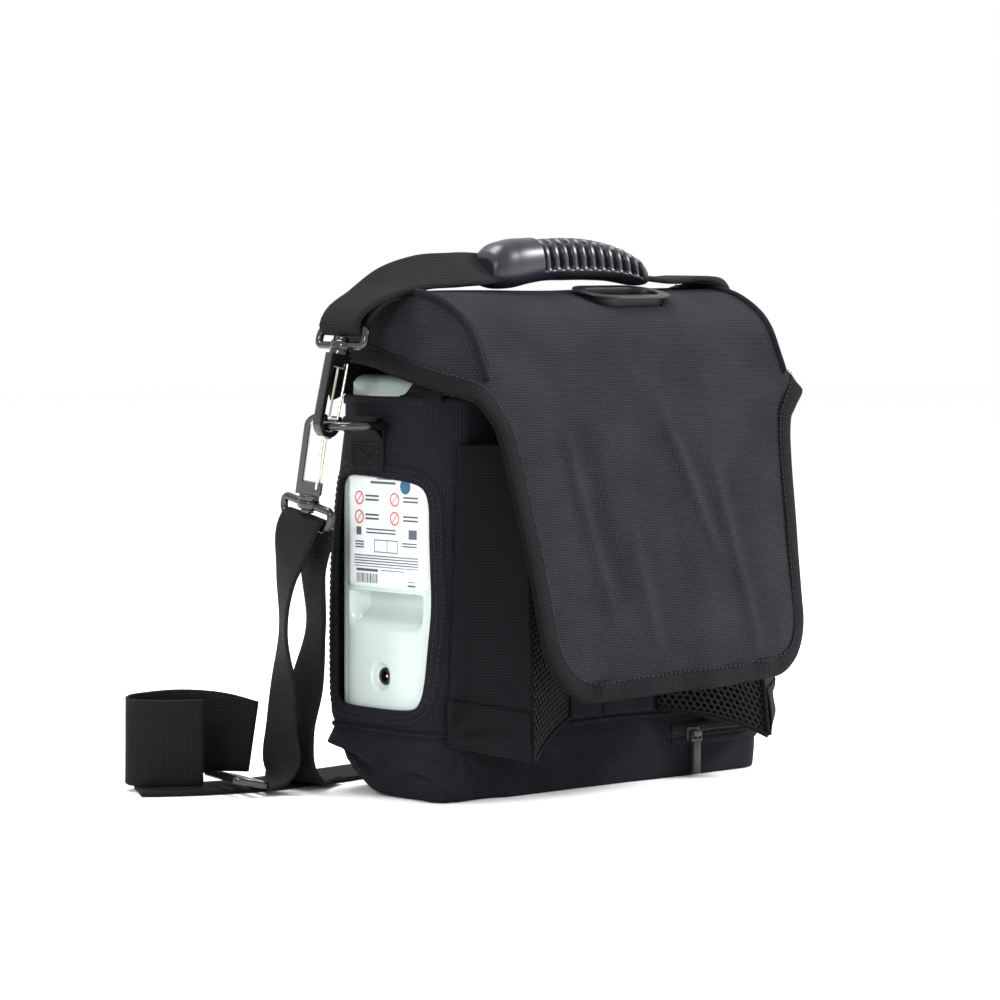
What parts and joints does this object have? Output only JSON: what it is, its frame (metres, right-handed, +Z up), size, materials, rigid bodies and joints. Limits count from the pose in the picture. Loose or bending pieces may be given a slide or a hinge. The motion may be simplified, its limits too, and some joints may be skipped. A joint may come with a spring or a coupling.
{
  "type": "portable oxygen concentrator in carry bag",
  "caption": "Portable oxygen concentrator in a black fabric carry bag with a front flap, a ribbed top handle, snap-hook hardware and a loose shoulder strap.",
  "frame": {"origin": "middle of the bag body's underside, on the surface it stands on", "axes": "+X along the bag to the right seen from the front, -Y out of the flap side, +Z up"},
  "size_m": [0.4519, 0.2701, 0.3552],
  "materials": {
    "bag_fabric": "woven nylon, charcoal black",
    "foam": "closed-cell foam",
    "elastic": "ribbed elastic",
    "mesh_fabric": "open mesh",
    "webbing": "ribbed nylon webbing",
    "rim_plastic": "satin moulded rim",
    "zipper_tape": "coil zipper",
    "zipper_hardware": "black painted zinc",
    "black_plastic": "gloss black moulded plastic",
    "gate_wire": "nickel-plated wire",
    "grip_plastic": "satin blue-grey moulded grip",
    "housing_plastic": "gloss pale grey-mint plastic",
    "panel_plastic": "smooth keypad panel",
    "button_plastic": "satin key caps",
    "nozzle_plastic": "moulded fitting",
    "socket_plastic": "black moulded plastic",
    "contact_metal": "plated contact",
    "cell_wrap": "shrink-wrapped cells",
    "cast_alloy": "cast alloy",
    "motor_winding": "steel and copper rotor",
    "sieve_tube": "drawn tube",
    "board": "printed board"
  },
  "bodies": {
    "root": {"bag_shell": "bag_fabric", "bag_base": "bag_fabric", "base_pad": "foam", "pocket_gusset_left": "elastic", "pocket_gusset_right": "elastic", "pocket_mesh_left": "mesh_fabric", "pocket_mesh_right": "mesh_fabric", "pocket_centre_panel": "bag_fabric", "flap_top": "bag_fabric", "cannula_grommet": "rim_plastic", "zipper_tape": "zipper_tape", "ring_tab_left": "webbing", "ring_tab_right": "webbing", "d_ring_left": "black_plastic", "d_ring_right": "black_plastic", "handle_webbing_left": "webbing", "handle_webbing_right": "webbing", "loop_upper_left": "black_plastic", "loop_upper_right": "black_plastic", "loop_lower_left": "black_plastic", "loop_lower_right": "black_plastic", "strap_hanging": "webbing", "strap_loop": "webbing", "strap_floor": "webbing", "strap_right": "webbing", "strap_buckle": "black_plastic", "unit_housing": "housing_plastic", "unit_top_cover": "housing_plastic", "control_panel": "panel_plastic", "cannula_nozzle": "nozzle_plastic", "dc_jack_socket": "socket_plastic", "dc_jack_pin": "contact_metal", "exhaust_grille": "housing_plastic", "battery_case": "housing_plastic", "battery_cells": "cell_wrap", "compressor_case": "cast_alloy", "sieve_beds": "sieve_tube", "valve_manifold": "cast_alloy", "fan_frame": "socket_plastic", "circuit_board": "board"},
    "flap": {"flap_front": "bag_fabric"},
    "handle": {"handle_grip": "grip_plastic"},
    "zip_slider": {"zipper_slider": "zipper_hardware"},
    "zip_pull": {"zipper_pull": "zipper_hardware"},
    "latch": {"battery_latch": "button_plastic"},
    "compressor_motor": {"compressor_rotor": "motor_winding"},
    "cooling_fan": {"fan_rotor": "socket_plastic"},
    "power_key": {"power_button": "button_plastic"},
    "flow_up_key": {"flow_up_button": "button_plastic"},
    "flow_down_key": {"flow_down_button": "button_plastic"},
    "alert_key": {"alert_button": "button_plastic"},
    "hook_upper_left_swivel": {"hook_upper_left": "black_plastic"},
    "gate_upper_left_wire": {"gate_upper_left": "gate_wire"},
    "hook_upper_right_swivel": {"hook_upper_right": "black_plastic"},
    "gate_upper_right_wire": {"gate_upper_right": "gate_wire"},
    "hook_lower_left_swivel": {"hook_lower_left": "black_plastic"},
    "gate_lower_left_wire": {"gate_lower_left": "gate_wire"},
    "hook_lower_right_swivel": {"hook_lower_right": "black_plastic"},
    "gate_lower_right_wire": {"gate_lower_right": "gate_wire"}
  },
  "joints": [
    {"name": "flap_lift", "type": "hinge", "parent": "root", "child": "flap", "pos_m": [0, -0.0876, 0.2625], "axis": [-1, 0, 0], "range_deg": [0, 105]},
    {"name": "handle_lift", "type": "slide", "parent": "root", "child": "handle", "axis": [0, 0, 1], "range_m": [0, 0.02], "deforming": ["handle_webbing_left", "handle_webbing_right"]},
    {"name": "zip_slide", "type": "slide", "parent": "root", "child": "zip_slider", "axis": [1, 0, 0], "range_m": [-0.01, 0.042]},
    {"name": "pull_swing", "type": "hinge", "parent": "zip_slider", "child": "zip_pull", "pos_m": [0.073, -0.064, 0.0284], "axis": [-1, 0, 0], "range_deg": [0, 80]},
    {"name": "hook_upper_left_turn", "type": "hinge", "parent": "root", "child": "hook_upper_left_swivel", "pos_m": [-0.18124, 0.012, 0.23745], "axis": [0.2419, 0, 0.9703], "range_deg": [-10, 10]},
    {"name": "gate_upper_left_open", "type": "hinge", "parent": "hook_upper_left_swivel", "child": "gate_upper_left_wire", "pos_m": [-0.16744, 0.012, 0.27421], "axis": [0, 1, 0], "range_deg": [0, 13], "stiffness_Nm_per_rad": 0.05, "springref_deg": -11.46},
    {"name": "hook_upper_right_turn", "type": "hinge", "parent": "root", "child": "hook_upper_right_swivel", "pos_m": [0.18124, 0.012, 0.23745], "axis": [-0.2419, 0, 0.9703], "range_deg": [-10, 10]},
    {"name": "gate_upper_right_open", "type": "hinge", "parent": "hook_upper_right_swivel", "child": "gate_upper_right_wire", "pos_m": [0.16744, 0.012, 0.27421], "axis": [0, -1, 0], "range_deg": [0, 13], "stiffness_Nm_per_rad": 0.05, "springref_deg": -11.46},
    {"name": "hook_lower_left_turn", "type": "hinge", "parent": "root", "child": "hook_lower_left_swivel", "pos_m": [-0.17294, 0.0293, 0.23453], "axis": [0, 0.2079, -0.9781], "range_deg": [-10, 10]},
    {"name": "gate_lower_left_open", "type": "hinge", "parent": "hook_lower_left_swivel", "child": "gate_lower_left_wire", "pos_m": [-0.1703, 0.03385, 0.19563], "axis": [-0.809, -0.5749, -0.1222], "range_deg": [0, 13], "stiffness_Nm_per_rad": 0.05, "springref_deg": -11.46},
    {"name": "hook_lower_right_turn", "type": "hinge", "parent": "root", "child": "hook_lower_right_swivel", "pos_m": [0.17294, 0.0293, 0.23453], "axis": [0, 0.2079, -0.9781], "range_deg": [-10, 10]},
    {"name": "gate_lower_right_open", "type": "hinge", "parent": "hook_lower_right_swivel", "child": "gate_lower_right_wire", "pos_m": [0.1703, 0.03385, 0.19563], "axis": [-0.809, 0.5749, 0.1222], "range_deg": [0, 13], "stiffness_Nm_per_rad": 0.05, "springref_deg": -11.46},
    {"name": "power_press", "type": "slide", "parent": "root", "child": "power_key", "axis": [0, 0, -1], "range_m": [0, 0.001], "stiffness_N_per_m": 600, "springref_m": -0.0005},
    {"name": "flow_up_press", "type": "slide", "parent": "root", "child": "flow_up_key", "axis": [0, 0, -1], "range_m": [0, 0.001], "stiffness_N_per_m": 600, "springref_m": -0.0005},
    {"name": "flow_down_press", "type": "slide", "parent": "root", "child": "flow_down_key", "axis": [0, 0, -1], "range_m": [0, 0.001], "stiffness_N_per_m": 600, "springref_m": -0.0005},
    {"name": "alert_press", "type": "slide", "parent": "root", "child": "alert_key", "axis": [0, 0, -1], "range_m": [0, 0.001], "stiffness_N_per_m": 600, "springref_m": -0.0005},
    {"name": "latch_press", "type": "slide", "parent": "root", "child": "latch", "axis": [0, 1, 0], "range_m": [0, 0.0018], "stiffness_N_per_m": 500, "springref_m": -0.0005},
    {"name": "motor_spin", "type": "hinge", "parent": "root", "child": "compressor_motor", "pos_m": [-0.06, 0, 0.118], "axis": [1, 0, 0], "continuous": true},
    {"name": "fan_spin", "type": "hinge", "parent": "root", "child": "cooling_fan", "pos_m": [0.114, 0, 0.15], "axis": [1, 0, 0], "continuous": true}
  ]
}
